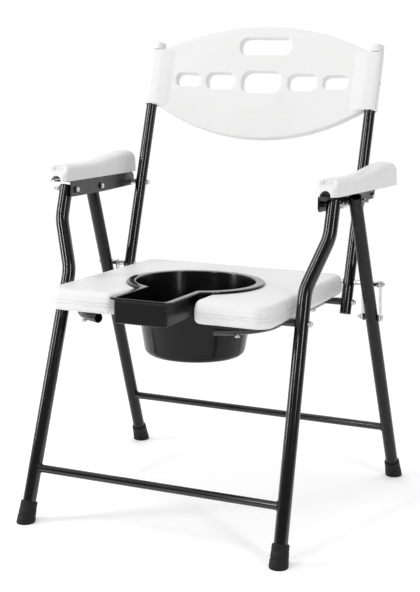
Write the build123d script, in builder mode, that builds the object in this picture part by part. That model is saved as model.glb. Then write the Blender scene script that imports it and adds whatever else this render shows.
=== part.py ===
"""Folding commode chair: a steel tube frame with a plastic seat, pan, backrest and armrests.

Units are millimetres. +Z is up, the sitter faces -Y, and +X is the sitter's left.
The origin is on the floor, under the middle of the whole chair.
"""
import os
from math import atan, cos, sin

from build123d import *

# ---------------------------------------------------------------- driving dimensions
LEG_D = 25.0
BACK_D = 22.0
RAIL_D = 18.0
BAR_D = 15.0
TUBE_WALL = 1.5

# Side view: every tube is a straight line, y = foot_y + lean * z.
FRONT_FOOT_Y = -274.0
FRONT_LEAN = 0.302
REAR_FOOT_Y = 297.0
REAR_LEAN = -0.458

# Front view: half widths of the tube axes.
FRONT_FOOT_X = 252.0
FRONT_TAPER = -0.032
LEG_TOP_X = 270.0
REAR_FOOT_X = 300.0
REAR_TOP_X = 276.5
BACK_X = 240.0
RAIL_X = 188.0

# Pivot heights. The arm, the seat, the front leg and the back tube are a parallelogram.
ARM_FRONT_Z = 608.0
ARM_REAR_LEG_Z = 607.0
SEAT_FRONT_Z = 403.0
PARALLEL_Y = 258.0
PARALLEL_DROP = 3.0
LINK_BACK = (117.0, 438.0)
LINK_LEG_Z = 370.0

# Legs, feet and cross bars
S_BEND_LOW_Z = 460.0
S_BEND_HIGH_Z = 552.0
S_BEND_RADIUS = 80.0
LEG_STUB = 7.0
FRONT_BAR_Z = 98.0
REAR_BAR_Z = 118.0
FOOT_TOP_R = 15.6
FOOT_BASE_R = 17.3
FOOT_LENGTH = 37.0
FOOT_LIFT = 3.0
FOOT_SOLE = 5.0

# Seat and pan
SEAT_HALF = 219.0
SEAT_CORNER = 32.0
SEAT_FRONT = -262.0
SEAT_REAR = 170.0
SEAT_TOP = 445.0
SEAT_THICK = 39.0
PAN_Y = -76.0
PAN_MOUTH_R = 113.0
PAN_BASE_R = 91.0
PAN_LIP_R = 129.0
PAN_TOP = 449.5
PAN_BOTTOM = 310.0
PAN_WALL = 2.5
SPOUT_FRONT = -311.5
SPOUT_HALF = 50.5
SPOUT_FLOOR = 405.0
SPOUT_LIP = 9.0
HOLE_R = 119.0
SLOT_HALF = 69.0

# Backrest, measured along the leaning back plane from its middle
BACK_MID_Z = 820.0
BACK_HALF = 253.6
BACK_THICK = 20.0
BACK_BOW = 14.0
SHOULDER_UP = 62.0
SHOULDER_DOWN = -58.0
APEX_UP = 117.0
APEX_DOWN = -120.0
SHOULDER_X = 226.0
SLEEVE_R = 13.6
CAP_TOP = 78.0

# Arms. They toe in to the front, because the two leg tops are not equally far out.
# Lengths run back along the arm from its front pivot, and sideways from the leg tops' middle.
ARM_PLATE = 2.0
ARM_INNER = -21.5
ARM_OUTER = 14.5
ARM_LOW_Z = 595.0
ARM_HIGH_Z = 625.0
ARM_NOSE = -22.0
ARM_TAIL = 272.0
PAD_HALF = 22.4
PAD_LOW = 625.0
PAD_HIGH = 655.0
PAD_NOSE = -44.0
PAD_TAIL = 294.0
PAD_WALL = 3.5
PAD_SCREWS = (52.0, 232.0)

# Hardware
BOLT_R = 3.0
FREE_R = 3.08
HEAD_R = 5.0
WASHER_R = 6.5
LINK_BAR_R = 5.0
STUB_R = 7.0
GAP = 0.5

os.makedirs("parts", exist_ok=True)


# ---------------------------------------------------------------- places worked out from them
def front_y(z):
    return FRONT_FOOT_Y + FRONT_LEAN * z


def front_x(z):
    return FRONT_FOOT_X + FRONT_TAPER * z


def rear_y(z):
    return REAR_FOOT_Y + REAR_LEAN * z


def rear_x(z):
    return REAR_FOOT_X + (REAR_TOP_X - REAR_FOOT_X) * z / ARM_REAR_LEG_Z


ARM_FRONT = (front_y(ARM_FRONT_Z), ARM_FRONT_Z)
ARM_LEG = (rear_y(ARM_REAR_LEG_Z), ARM_REAR_LEG_Z)
ARM_BACK = (ARM_FRONT[0] + PARALLEL_Y, ARM_FRONT_Z - PARALLEL_DROP)
SEAT_LEG = (front_y(SEAT_FRONT_Z), SEAT_FRONT_Z)
SEAT_BACK = (SEAT_LEG[0] + PARALLEL_Y, SEAT_FRONT_Z - PARALLEL_DROP)
LINK_LEG = (rear_y(LINK_LEG_Z), LINK_LEG_Z)


def back_y(z):
    return ARM_BACK[0] + FRONT_LEAN * (z - ARM_BACK[1])


LEAN = atan(FRONT_LEAN)
BACK_PLANE = Plane(
    origin=(0, back_y(BACK_MID_Z), BACK_MID_Z),
    x_dir=(1, 0, 0),
    z_dir=(0, -cos(LEAN), sin(LEAN)),
)


# ---------------------------------------------------------------- helpers
def round_bar(start, end, radius, mode=Mode.ADD):
    """A round bar from start to end, added to or cut from the part being built."""
    start = Vector(*start)
    reach = Vector(*end) - start
    with BuildSketch(Plane(origin=start, z_dir=reach)) as section:
        Circle(radius)
    extrude(section.sketch, amount=reach.length, mode=mode)


def cross_bar(place, x_from, x_to, radius, mode=Mode.ADD):
    """A round bar along X through place, a (y, z) pair."""
    round_bar((x_from, *place), (x_to, *place), radius, mode)


def tube(points, outer_d, bend=None):
    """A bent tube along points, with every corner rounded to the bend radius."""
    with BuildLine() as path:
        if bend:
            FilletPolyline(*points, radius=bend)
        else:
            Polyline(*points)
    with BuildSketch(Plane(origin=path.line @ 0, z_dir=path.line % 0)) as ring:
        Circle(outer_d / 2)
        Circle(outer_d / 2 - TUBE_WALL, mode=Mode.SUBTRACT)
    sweep(ring.sketch, path=path.line)


def save(shape, name):
    shape.label = name
    export_step(shape, f"parts/{name}.step")


def save_pair(shape, name):
    """Writes the piece built on the +X side, and its mirror image on the other side."""
    save(shape, f"{name}_left")
    save(mirror(shape, about=Plane.YZ), f"{name}_right")


def save_set(shape, name):
    """Writes the pieces built on the +X side and their mirror images as one node."""
    twins = mirror(shape, about=Plane.YZ)
    save(Compound(children=[*shape.solids(), *twins.solids()]), name)


def round_over(place, x_tip, radius):
    """Rounds the circular edge at x_tip on the bar through place."""
    ring = edges().filter_by(GeomType.CIRCLE)
    ring = ring.filter_by(lambda e: abs(e.center().X - x_tip) < 0.01 and abs(e.center().Y - place[0]) < 1)
    fillet(ring.sort_by(SortBy.RADIUS)[-1], radius)


def bolt(place, x_head, x_end, head_r=HEAD_R, head=4.0):
    """A round-headed bolt along X: the head lies beyond x_head, away from x_end."""
    out = 1 if x_head > x_end else -1
    cross_bar(place, x_head, x_end, BOLT_R)
    cross_bar(place, x_head, x_head + out * head, head_r)
    round_over(place, x_head + out * head, 1.6)


def hexagon(place, x_seat, out, height):
    """A plain six-sided nut body, seated at x_seat and growing along out."""
    with BuildSketch(Plane(origin=(x_seat, *place), z_dir=(out, 0, 0))) as flats:
        RegularPolygon(5.6, 6)
    extrude(flats.sketch, amount=height)


def cap_nut(place, x_seat, out, height=8.0):
    """A domed nut on a bolt's end, seated at x_seat and pointing along out."""
    hexagon(place, x_seat, out, 4.5)
    cross_bar(place, x_seat, x_seat + out * height, 4.2)
    round_over(place, x_seat + out * height, 3.4)
    cross_bar(place, x_seat, x_seat + out * (height - 2), BOLT_R, Mode.SUBTRACT)


def washer(place, x_from, x_to, radius=WASHER_R, hole=BOLT_R):
    cross_bar(place, x_from, x_to, radius)
    cross_bar(place, x_from, x_to, hole, Mode.SUBTRACT)


# ---------------------------------------------------------------- front frame
FRONT_FOOT = Vector(FRONT_FOOT_X, FRONT_FOOT_Y, 0)
FRONT_UP = Vector(FRONT_TAPER, FRONT_LEAN, 1).normalized()
REAR_FOOT = Vector(REAR_FOOT_X, REAR_FOOT_Y, 0)
REAR_UP = Vector((REAR_TOP_X - REAR_FOOT_X) / ARM_REAR_LEG_Z, REAR_LEAN, 1).normalized()
TUBE_START = FOOT_LIFT + FOOT_SOLE
FRONT_TOP_Z = ARM_FRONT_Z + LEG_STUB * cos(LEAN)
REAR_TOP_Z = ARM_REAR_LEG_Z + LEG_STUB * REAR_UP.Z

with BuildPart() as front_leg:
    low = FRONT_FOOT + FRONT_UP * TUBE_START
    tube(
        [
            tuple(low),
            (front_x(S_BEND_LOW_Z), front_y(S_BEND_LOW_Z), S_BEND_LOW_Z),
            (LEG_TOP_X, front_y(S_BEND_HIGH_Z), S_BEND_HIGH_Z),
            (LEG_TOP_X, front_y(FRONT_TOP_Z), FRONT_TOP_Z),
        ],
        LEG_D,
        bend=S_BEND_RADIUS,
    )
    cross_bar(ARM_FRONT, LEG_TOP_X - LEG_D, LEG_TOP_X + LEG_D, FREE_R, Mode.SUBTRACT)
    cross_bar(SEAT_LEG, 215, 265, BOLT_R, Mode.SUBTRACT)
save_pair(front_leg.part, "front_leg")

with BuildPart() as front_crossbar:
    bar_end = front_x(FRONT_BAR_Z)
    tube(
        [(-bar_end, front_y(FRONT_BAR_Z), FRONT_BAR_Z), (bar_end, front_y(FRONT_BAR_Z), FRONT_BAR_Z)],
        BAR_D,
    )
    for side in (-1, 1):
        foot = Vector(side * FRONT_FOOT_X, FRONT_FOOT_Y, 0)
        knee = Vector(side * front_x(S_BEND_LOW_Z), front_y(S_BEND_LOW_Z), S_BEND_LOW_Z)
        round_bar(foot, knee, LEG_D / 2, Mode.SUBTRACT)
save(front_crossbar.part, "front_crossbar")


def ferrule(foot, up):
    """A rubber foot pushed over a leg, cut flat where it meets the floor."""
    stations = (
        (FOOT_LIFT, FOOT_BASE_R, 9, FOOT_BASE_R - 0.4),
        (FOOT_LIFT + 9, FOOT_BASE_R - 0.9, FOOT_LENGTH - 9, FOOT_TOP_R),
    )
    for start, start_r, length, end_r in stations:
        with BuildSketch(Plane(origin=foot + up * start, z_dir=up)) as wide:
            Circle(start_r)
        with BuildSketch(Plane(origin=foot + up * (start + length), z_dir=up)) as narrow:
            Circle(end_r)
        loft([wide.sketch, narrow.sketch])
    round_bar(foot + up * TUBE_START, foot + up * (FOOT_LIFT + FOOT_LENGTH + 1), LEG_D / 2, Mode.SUBTRACT)
    split(bisect_by=Plane.XY, keep=Keep.TOP)


with BuildPart() as front_foot:
    ferrule(FRONT_FOOT, FRONT_UP)
save_pair(front_foot.part, "front_foot")

with BuildPart() as seat_pivot_bolt:
    leg_x = front_x(SEAT_FRONT_Z)
    cross_bar(SEAT_LEG, leg_x - 32, leg_x + LEG_D / 2 + 5, BOLT_R)
save_set(seat_pivot_bolt.part, "seat_pivot_bolts")

with BuildPart() as seat_pivot_nut:
    cap_nut(SEAT_LEG, leg_x + LEG_D / 2, 1)
    round_bar(FRONT_FOOT, FRONT_FOOT + FRONT_UP * 450, LEG_D / 2, Mode.SUBTRACT)
save_set(seat_pivot_nut.part, "seat_pivot_nuts")

# ---------------------------------------------------------------- rear frame
with BuildPart() as rear_leg:
    tube(
        [tuple(REAR_FOOT + REAR_UP * TUBE_START), (rear_x(REAR_TOP_Z), rear_y(REAR_TOP_Z), REAR_TOP_Z)],
        LEG_D,
    )
    cross_bar(ARM_LEG, 255, 300, FREE_R, Mode.SUBTRACT)
    cross_bar(LINK_LEG, 260, 310, FREE_R, Mode.SUBTRACT)
save_pair(rear_leg.part, "rear_leg")

with BuildPart() as rear_crossbar:
    bar_end = rear_x(REAR_BAR_Z)
    tube(
        [(-bar_end, rear_y(REAR_BAR_Z), REAR_BAR_Z), (bar_end, rear_y(REAR_BAR_Z), REAR_BAR_Z)],
        BAR_D,
    )
    for side in (-1, 1):
        foot = Vector(side * REAR_FOOT_X, REAR_FOOT_Y, 0)
        knee = Vector(side * rear_x(S_BEND_LOW_Z), rear_y(S_BEND_LOW_Z), S_BEND_LOW_Z)
        round_bar(foot, knee, LEG_D / 2, Mode.SUBTRACT)
save(rear_crossbar.part, "rear_crossbar")

with BuildPart() as rear_foot:
    ferrule(REAR_FOOT, REAR_UP)
save_pair(rear_foot.part, "rear_foot")

# ---------------------------------------------------------------- fold links beside the rear legs
LINK_LEG_X = rear_x(LINK_LEG_Z)
LEG_SKIN = LEG_D / 2 + 0.9
LINK_PLATE_T = 2.0
LINK_WASHER_T = 3.2
PLATE_IN = LINK_LEG_X - LEG_SKIN - LINK_WASHER_T
PLATE_OUT = LINK_LEG_X + LEG_SKIN + LINK_WASHER_T
LINK_HALF = 7.0
LINK_SLOPE = Vector(0, LINK_BACK[0] - LINK_LEG[0], LINK_BACK[1] - LINK_LEG[1])


def link_plate(x_low):
    """A flat strap with round ends, from the leg's bolt to the bar on the back tube."""
    with BuildSketch(Plane(origin=(x_low, *LINK_LEG), x_dir=LINK_SLOPE, z_dir=(1, 0, 0))) as strap:
        with Locations((LINK_SLOPE.length / 2, 0)):
            SlotCenterToCenter(LINK_SLOPE.length, 2 * LINK_HALF)
    extrude(strap.sketch, amount=LINK_PLATE_T)
    cross_bar(LINK_LEG, x_low - 1, x_low + LINK_PLATE_T + 1, BOLT_R, Mode.SUBTRACT)
    cross_bar(LINK_BACK, x_low - 1, x_low + LINK_PLATE_T + 1, LINK_BAR_R, Mode.SUBTRACT)


with BuildPart() as link_plates:
    link_plate(PLATE_IN - LINK_PLATE_T)
    link_plate(PLATE_OUT)
save_pair(link_plates.part, "link_plates")

with BuildPart() as link_washers:
    washer(LINK_LEG, PLATE_IN, LINK_LEG_X - LEG_SKIN)
    washer(LINK_LEG, LINK_LEG_X + LEG_SKIN, PLATE_OUT)
save_pair(link_washers.part, "link_washers")

with BuildPart() as link_bolt:
    bolt(LINK_LEG, PLATE_OUT + LINK_PLATE_T, PLATE_IN - LINK_PLATE_T - 9)
save_pair(link_bolt.part, "link_bolt")

with BuildPart() as link_bolt_nut:
    nut_face = PLATE_IN - LINK_PLATE_T
    hexagon(LINK_LEG, nut_face, -1, 4.5)
    cross_bar(LINK_LEG, nut_face + 1, nut_face - 6, BOLT_R, Mode.SUBTRACT)
save_pair(link_bolt_nut.part, "link_nut")

BAR_INNER_X = BACK_X + BACK_D / 2 + GAP
BAR_OUTER_X = PLATE_OUT + LINK_PLATE_T
with BuildPart() as link_bar:
    cross_bar(LINK_BACK, BAR_INNER_X, BAR_OUTER_X, LINK_BAR_R)
    cross_bar(LINK_BACK, PLATE_OUT - 4, PLATE_OUT, WASHER_R)
save_pair(link_bar.part, "link_bar")

with BuildPart() as link_bar_nut:
    cap_nut(LINK_BACK, BAR_OUTER_X, 1)
save_pair(link_bar_nut.part, "link_bar_nut")

# ---------------------------------------------------------------- seat rails
RAIL_Z = SEAT_TOP - SEAT_THICK - RAIL_D / 2
RAIL_REAR = (RAIL_X, 118.0, RAIL_Z)
RAIL_KNEE = (RAIL_X, -215.0, RAIL_Z)
RAIL_END = (112.0, -249.0, RAIL_Z)
RAIL_BEND = 110.0
STUB_OUT = front_x(SEAT_FRONT_Z) - LEG_D / 2 - GAP
BACK_STUB_OUT = BACK_X - BACK_D / 2 - GAP
SCREW_PLACES = ((150.0, -232.3), (RAIL_X, -95.0), (RAIL_X, 60.0))

with BuildPart() as seat_rail:
    tube([RAIL_REAR, RAIL_KNEE, RAIL_END], RAIL_D, bend=RAIL_BEND)
    cross_bar(SEAT_LEG, RAIL_X + 3, STUB_OUT, STUB_R)
    cross_bar(SEAT_BACK, RAIL_X + 3, BACK_STUB_OUT, STUB_R)
    with BuildSketch(Plane.XY.offset(SEAT_TOP - SEAT_THICK)):
        with Locations((RAIL_X, 0)):
            Rectangle(60, 600)
    extrude(amount=20, mode=Mode.SUBTRACT)
    cross_bar(SEAT_LEG, leg_x - 33, STUB_OUT + 1, FREE_R, Mode.SUBTRACT)
    cross_bar(SEAT_BACK, BACK_X - 33, BACK_STUB_OUT + 1, FREE_R, Mode.SUBTRACT)
    for x, y in SCREW_PLACES:
        round_bar((x, y, RAIL_Z - RAIL_D), (x, y, RAIL_Z + RAIL_D), 2.2, Mode.SUBTRACT)
save_pair(seat_rail.part, "seat_rail")

with BuildPart() as seat_screws:
    for x, y in SCREW_PLACES:
        head_z = RAIL_Z - RAIL_D / 2 - 3.4
        round_bar((x, y, head_z), (x, y, head_z + 3), 4.4)
        round_bar((x, y, head_z), (x, y, SEAT_TOP - SEAT_THICK + 14), 2.0)
save_set(seat_screws.part, "seat_screws")

# ---------------------------------------------------------------- seat board
with BuildPart() as seat_board:
    with BuildSketch(Plane.XY.offset(SEAT_TOP - SEAT_THICK)):
        with Locations((0, (SEAT_FRONT + SEAT_REAR) / 2)):
            RectangleRounded(2 * SEAT_HALF, SEAT_REAR - SEAT_FRONT, SEAT_CORNER)
        with Locations((0, PAN_Y)):
            Circle(HOLE_R, mode=Mode.SUBTRACT)
        with BuildLine():
            Polyline(
                (-SLOT_HALF, PAN_Y),
                (-SLOT_HALF, SEAT_FRONT + 26),
                (-SLOT_HALF - 13, SEAT_FRONT - 1),
                (SLOT_HALF + 13, SEAT_FRONT - 1),
                (SLOT_HALF, SEAT_FRONT + 26),
                (SLOT_HALF, PAN_Y),
                close=True,
            )
        make_face(mode=Mode.SUBTRACT)
        fillet(vertices().filter_by(lambda v: abs(v.X) < 90 and v.Y < PAN_Y - 90 and v.Y > SEAT_FRONT + 30), 14)
        fillet(vertices().group_by(Axis.Y)[0].filter_by(lambda v: abs(v.X) < 90), 16)
    extrude(amount=SEAT_THICK)
    fillet(faces().sort_by(Axis.Z)[-1].edges(), 9)
    fillet(faces().sort_by(Axis.Z)[0].edges(), 9)
    for side in (-1, 1):
        for place in (SEAT_LEG, SEAT_BACK):
            cross_bar(place, side * (RAIL_X - 2), side * (SEAT_HALF + 5), STUB_R + 1.2, Mode.SUBTRACT)
        for x, y in SCREW_PLACES:
            round_bar(
                (side * x, y, SEAT_TOP - SEAT_THICK - 1),
                (side * x, y, SEAT_TOP - SEAT_THICK + 15),
                2.0,
                Mode.SUBTRACT,
            )
save(seat_board.part, "seat_board")

# ---------------------------------------------------------------- pan
PAN_DEPTH = PAN_TOP - PAN_BOTTOM


def pan_cone(grow, bottom, top):
    """The pan's round body, made larger by grow, between two heights."""
    slope = (PAN_MOUTH_R - PAN_BASE_R) / PAN_DEPTH
    low_r = PAN_BASE_R + slope * (bottom - PAN_BOTTOM) + grow
    high_r = PAN_BASE_R + slope * (top - PAN_BOTTOM) + grow
    return low_r, high_r


def frustum(bottom, top, radii):
    with BuildSketch(Plane.XY.offset(bottom)) as base:
        with Locations((0, PAN_Y)):
            Circle(radii[0])
    with BuildSketch(Plane.XY.offset(top)) as mouth:
        with Locations((0, PAN_Y)):
            Circle(radii[1])
    loft([base.sketch, mouth.sketch])


def spout_block(half, front, bottom, top):
    """The straight channel from the middle of the pan to its front."""
    with BuildSketch(Plane.XY.offset(bottom)) as outline:
        with Locations((0, (front + PAN_Y) / 2)):
            Rectangle(2 * half, PAN_Y - front)
        fillet(outline.vertices().group_by(Axis.Y)[0], 7)
    extrude(outline.sketch, amount=top - bottom)


with BuildPart() as pan_hollow:
    frustum(PAN_BOTTOM + PAN_WALL, PAN_TOP + 1, pan_cone(0, PAN_BOTTOM + PAN_WALL, PAN_TOP + 1))
    fillet(edges().sort_by(Axis.Z)[0], 11.5)
    spout_block(SPOUT_HALF - PAN_WALL, SPOUT_FRONT + 1 + PAN_WALL, SPOUT_FLOOR + PAN_WALL, PAN_TOP + 1)

LIP_Z = SEAT_TOP + 0.4
with BuildPart() as pan:
    frustum(PAN_BOTTOM, PAN_TOP, pan_cone(PAN_WALL, PAN_BOTTOM, PAN_TOP))
    fillet(edges().sort_by(Axis.Z)[0], 14)
    spout_block(SPOUT_HALF, SPOUT_FRONT + 1, SPOUT_FLOOR, PAN_TOP)
    with BuildSketch(Plane.XY.offset(LIP_Z)):
        with Locations((0, PAN_Y)):
            Circle(PAN_LIP_R)
        with Locations((0, (SPOUT_FRONT + PAN_Y) / 2)):
            Rectangle(2 * (SPOUT_HALF + SPOUT_LIP), PAN_Y - SPOUT_FRONT)
        fillet(vertices().group_by(Axis.Y)[0], 9)
    extrude(amount=PAN_TOP - LIP_Z)
    add(pan_hollow.part, mode=Mode.SUBTRACT)
save(pan.part, "pan")

# ---------------------------------------------------------------- back tubes
BACK_LOW_Z = 379.0
BACK_TOP_Z = BACK_MID_Z + (CAP_TOP - 4) * cos(LEAN)
with BuildPart() as back_tube:
    tube([(BACK_X, back_y(BACK_LOW_Z), BACK_LOW_Z), (BACK_X, back_y(BACK_TOP_Z), BACK_TOP_Z)], BACK_D)
    cross_bar(ARM_BACK, 225, 260, FREE_R, Mode.SUBTRACT)
    cross_bar(SEAT_BACK, 225, 260, BOLT_R, Mode.SUBTRACT)
    cross_bar(LINK_BACK, 225, 260, BOLT_R, Mode.SUBTRACT)
save_pair(back_tube.part, "back_tube")


def back_point(across, up, out=0.0):
    """A point given across and up the leaning back plane, and out of its front."""
    return BACK_PLANE.from_local_coords(Vector(across, up, out))


TUBE_FOOT = Vector(BACK_X, back_y(BACK_LOW_Z), BACK_LOW_Z)
TUBE_UP = Vector(0, sin(LEAN), cos(LEAN))
with BuildPart() as back_tube_plug:
    round_bar(TUBE_FOOT, TUBE_FOOT + TUBE_UP * 9, BACK_D / 2 - TUBE_WALL)
    round_bar(TUBE_FOOT, TUBE_FOOT - TUBE_UP * 1.5, BACK_D / 2)
save_set(back_tube_plug.part, "back_tube_plugs")

with BuildPart() as back_cap:
    round_bar(back_point(BACK_X, SHOULDER_UP), back_point(BACK_X, CAP_TOP), SLEEVE_R)
    fillet(edges().sort_by(Axis.Z)[-1], 4)
    round_bar(back_point(BACK_X, 0), back_point(BACK_X, CAP_TOP - 4), BACK_D / 2, Mode.SUBTRACT)
save_pair(back_cap.part, "back_cap")

with BuildPart() as seat_back_bolt:
    cross_bar(SEAT_BACK, BACK_X - 32, BACK_X + BACK_D / 2 + 5, BOLT_R)
save_set(seat_back_bolt.part, "seat_back_bolts")

with BuildPart() as seat_back_nut:
    cap_nut(SEAT_BACK, BACK_X + BACK_D / 2, 1)
save_set(seat_back_nut.part, "seat_back_nuts")

with BuildPart() as link_back_bolt:
    bolt(LINK_BACK, BACK_X - BACK_D / 2, BACK_X + BACK_D / 2)
save_set(link_back_bolt.part, "link_back_bolts")

# ---------------------------------------------------------------- backrest
# Each window: across, up, width, height. The first is the hand slot.
WINDOWS = (
    (0.0, 75.0, 112.0, 37.0),
    (0.0, -1.0, 87.0, 46.0),
    (90.0, -1.0, 62.0, 35.0),
    (-90.0, -1.0, 62.0, 35.0),
    (162.0, -1.0, 53.0, 29.0),
    (-162.0, -1.0, 53.0, 29.0),
)
SIDE_SCREW = (back_point(0, 0).Y, back_point(0, 0).Z)
BOW_R = (BACK_X**2 + BACK_BOW**2) / (2 * BACK_BOW)


with BuildPart() as backrest:
    with BuildSketch(BACK_PLANE):
        with BuildLine():
            top = ThreePointArc((-SHOULDER_X, SHOULDER_UP), (0, APEX_UP), (SHOULDER_X, SHOULDER_UP))
            Line(top @ 1, (BACK_HALF, SHOULDER_UP))
            Line((BACK_HALF, SHOULDER_UP), (BACK_HALF, SHOULDER_DOWN))
            Line((BACK_HALF, SHOULDER_DOWN), (SHOULDER_X, SHOULDER_DOWN))
            low = ThreePointArc((SHOULDER_X, SHOULDER_DOWN), (0, APEX_DOWN), (-SHOULDER_X, SHOULDER_DOWN))
            Line(low @ 1, (-BACK_HALF, SHOULDER_DOWN))
            Line((-BACK_HALF, SHOULDER_DOWN), (-BACK_HALF, SHOULDER_UP))
            Line((-BACK_HALF, SHOULDER_UP), top @ 0)
        make_face()
        for across, up, width, height in WINDOWS:
            with Locations((across, up)):
                RectangleRounded(width, height, height * 0.42, mode=Mode.SUBTRACT)
    extrude(amount=60, both=True)
    with BuildSketch(Plane(origin=back_point(0, -150), x_dir=(1, 0, 0), z_dir=TUBE_UP)):
        for radius, mode in ((BOW_R + BACK_THICK / 2, Mode.ADD), (BOW_R - BACK_THICK / 2, Mode.SUBTRACT)):
            with Locations((0, BACK_BOW - BOW_R)):
                Circle(radius, mode=mode)
    extrude(amount=300, mode=Mode.INTERSECT)
    for side in (-1, 1):
        round_bar(back_point(side * BACK_X, SHOULDER_DOWN), back_point(side * BACK_X, SHOULDER_UP), SLEEVE_R)
    for side in (-1, 1):
        round_bar(
            back_point(side * BACK_X, SHOULDER_DOWN - 9),
            back_point(side * BACK_X, SHOULDER_UP + 9),
            BACK_D / 2,
            Mode.SUBTRACT,
        )
        cross_bar(SIDE_SCREW, side * BACK_X, side * (BACK_HALF + 2), 2.0, Mode.SUBTRACT)
        cross_bar(SIDE_SCREW, side * (BACK_HALF - 1.2), side * (BACK_HALF + 2), 3.6, Mode.SUBTRACT)
save(backrest.part, "backrest")

with BuildPart() as backrest_screws:
    cross_bar(SIDE_SCREW, BACK_X + BACK_D / 2 + 0.1, BACK_HALF - 1.0, 2.0)
    cross_bar(SIDE_SCREW, BACK_HALF - 1.2, BACK_HALF + 0.5, 3.6)
save_set(backrest_screws.part, "backrest_screws")

# ---------------------------------------------------------------- arms
ARM_RUN = Vector(REAR_TOP_X - LEG_TOP_X, ARM_LEG[0] - ARM_FRONT[0], 0).normalized()
ARM_SIDE = Plane(
    origin=(LEG_TOP_X, ARM_FRONT[0], 0),
    x_dir=ARM_RUN,
    z_dir=ARM_RUN.cross(Vector(0, 0, 1)),
)


def arm_point(along, height, out=0.0):
    """A point given along the arm from its front pivot, above the floor, and outwards."""
    return ARM_SIDE.from_local_coords(Vector(along, height, out))


ARM_BACK_ALONG = PARALLEL_Y / ARM_RUN.Y
ARM_LEG_ALONG = (ARM_LEG[0] - ARM_FRONT[0]) / ARM_RUN.Y
PLATE_X = {
    place: arm_point(along, 0, ARM_INNER).X
    for place, along in ((ARM_FRONT, 0), (ARM_LEG, ARM_LEG_ALONG), (ARM_BACK, ARM_BACK_ALONG))
}
TOE_GAP = 0.5

with BuildPart() as arm_bracket:
    with BuildSketch(ARM_SIDE.offset(ARM_INNER)):
        with BuildLine():
            Polyline(
                (ARM_NOSE, ARM_HIGH_Z),
                (ARM_NOSE, ARM_LOW_Z),
                (ARM_LEG_ALONG + 16, ARM_LOW_Z),
                (ARM_TAIL, ARM_LOW_Z + 3),
                (ARM_TAIL, ARM_HIGH_Z - 8),
                (ARM_TAIL - 8, ARM_HIGH_Z),
                close=True,
            )
        make_face()
        fillet(vertices().filter_by(lambda v: v.X < ARM_NOSE + 1 and v.Y < ARM_LOW_Z + 1), 9)
        fillet(vertices().filter_by(lambda v: v.X > ARM_TAIL - 1 and v.Y < ARM_LOW_Z + 5), 9)
    extrude(amount=ARM_PLATE)
    with BuildSketch(ARM_SIDE.offset(ARM_INNER)):
        with Locations(((ARM_NOSE + ARM_TAIL - 8) / 2, ARM_HIGH_Z - ARM_PLATE / 2)):
            Rectangle(ARM_TAIL - 8 - ARM_NOSE, ARM_PLATE)
    extrude(amount=ARM_OUTER - ARM_INNER)
    for place, face_x in PLATE_X.items():
        cross_bar(place, face_x - 2, face_x + ARM_PLATE + 2, BOLT_R, Mode.SUBTRACT)
    for along in PAD_SCREWS:
        round_bar(arm_point(along, ARM_HIGH_Z - 3), arm_point(along, ARM_HIGH_Z + 1), 2.2, Mode.SUBTRACT)
save_pair(arm_bracket.part, "arm_bracket")

ARM_WASHER_T = 1.6
LEG_BOLTS = ((ARM_FRONT, LEG_TOP_X), (ARM_LEG, REAR_TOP_X))
with BuildPart() as arm_bolts:
    for place, leg_x in LEG_BOLTS:
        bolt(place, PLATE_X[place] - TOE_GAP - ARM_WASHER_T, leg_x + LEG_D / 2 + 13)
save_pair(arm_bolts.part, "arm_bolts")

with BuildPart() as arm_washers:
    for place, leg_x in LEG_BOLTS:
        washer(place, PLATE_X[place] - TOE_GAP - ARM_WASHER_T, PLATE_X[place] - TOE_GAP)
        washer(place, PLATE_X[place] + ARM_PLATE + TOE_GAP, leg_x - LEG_D / 2 - GAP, radius=5.5)
save_pair(arm_washers.part, "arm_washers")

with BuildPart() as arm_nuts:
    for place, leg_x in LEG_BOLTS:
        nut_x = leg_x + LEG_D / 2 + GAP
        hexagon(place, nut_x, 1, 5.2)
        cross_bar(place, nut_x - 1, nut_x + 7, BOLT_R, Mode.SUBTRACT)
save_pair(arm_nuts.part, "arm_nuts")

with BuildPart() as arm_spacer:
    washer(ARM_BACK, BACK_X + BACK_D / 2 + GAP, PLATE_X[ARM_BACK] - TOE_GAP, radius=6.0)
save_pair(arm_spacer.part, "arm_spacer")

with BuildPart() as arm_back_bolt:
    bolt(ARM_BACK, PLATE_X[ARM_BACK] + ARM_PLATE + TOE_GAP, BACK_X - BACK_D / 2 - GAP - 5)
save_pair(arm_back_bolt.part, "arm_back_bolt")

with BuildPart() as arm_back_nut:
    cap_nut(ARM_BACK, BACK_X - BACK_D / 2 - GAP, -1)
save_pair(arm_back_nut.part, "arm_back_nut")


def pad_profile(inset, floor):
    """The armrest's side outline, low in front and rising to the back, made smaller by inset."""
    with BuildLine() as outline:
        top = Spline(
            (PAD_NOSE + 10 + inset, PAD_HIGH - 2 - inset),
            (PAD_NOSE + 60, PAD_HIGH - 1 - inset),
            (110, PAD_HIGH + 1 - inset),
            (200, PAD_HIGH + 11 - inset),
            (255, PAD_HIGH + 16 - inset),
            (PAD_TAIL - 10 - inset, PAD_HIGH + 8 - inset),
        )
        Polyline(
            top @ 1,
            (PAD_TAIL - inset, PAD_LOW + 12),
            (PAD_TAIL - inset, PAD_LOW + 6 - floor),
            (200, PAD_LOW - floor),
            (PAD_NOSE + inset, PAD_LOW - floor),
            (PAD_NOSE + inset, PAD_LOW + 8),
            top @ 0,
        )
    make_face(outline.edges())


def along_the_top(edge):
    """True for the armrest's two long upper edges and the short ones that join them."""
    place = ARM_SIDE.to_local_coords(edge.center())
    return place.Y > PAD_HIGH - 12 and abs(place.Z) > 5


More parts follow.
